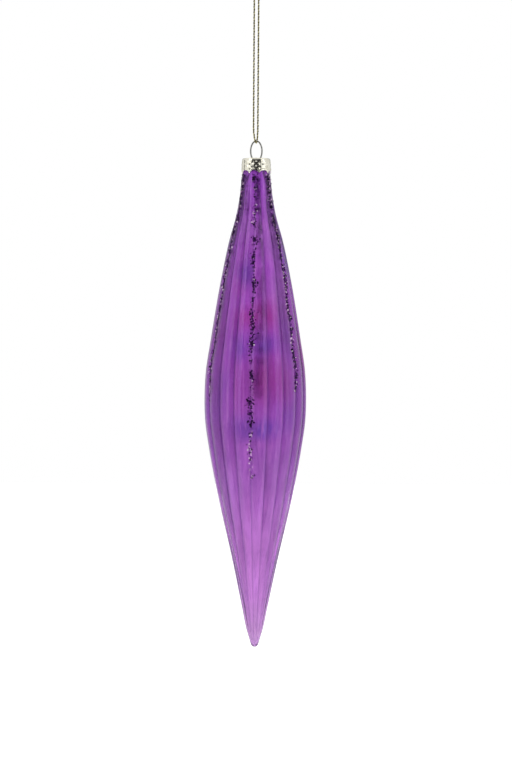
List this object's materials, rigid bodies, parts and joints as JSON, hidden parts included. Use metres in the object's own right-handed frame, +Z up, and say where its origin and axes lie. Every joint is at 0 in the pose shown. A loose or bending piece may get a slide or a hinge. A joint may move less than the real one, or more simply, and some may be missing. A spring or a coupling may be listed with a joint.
{
  "type": "icicle hanging ornament",
  "caption": "Long fluted glass spindle with glitter in its valleys, hung from a stamped metal cap, a wire ring and a doubled metallic cord.",
  "frame": {"origin": "the hanging point, at the top of the cord's loop just under its knot, on the ornament's axis", "axes": "+Z up along the ornament's axis, tip pointing to -Z; the wire ring lies in the XZ plane and the front faces -Y"},
  "size_m": [0.0522, 0.052, 0.357],
  "materials": {
    "glass": "glossy, lacquered purple inside, deep at the neck and pale orchid at the tip",
    "glitter": "dark purple and silver-pink flakes in dried clear glue",
    "cap_metal": "bright, embossed lace pattern",
    "wire": "bright drawn wire",
    "cord": "twisted metallic gold thread"
  },
  "bodies": {
    "cord": {"hanging_cord": "cord", "cord_knot": "cord"},
    "hanger": {"hanger_wire": "wire"},
    "cap": {"cap": "cap_metal"},
    "glass": {"glass_body": "glass", "glitter_line_1": "glitter", "glitter_line_2": "glitter", "glitter_line_3": "glitter", "glitter_line_4": "glitter", "glitter_line_5": "glitter", "glitter_line_6": "glitter"}
  },
  "joints": [
    {"name": "swing", "type": "hinge", "parent": "cord", "child": "hanger", "pos_m": [0, 0, -0.086], "axis": [1, 0, 0], "range_deg": [-60, 60]},
    {"name": "spin", "type": "hinge", "parent": "hanger", "child": "cap", "pos_m": [0, 0, -0.095], "axis": [0, 0, 1], "continuous": true},
    {"name": "pull_off", "type": "slide", "parent": "cap", "child": "glass", "axis": [0, 0, -1], "range_m": [0, 0.025]}
  ]
}
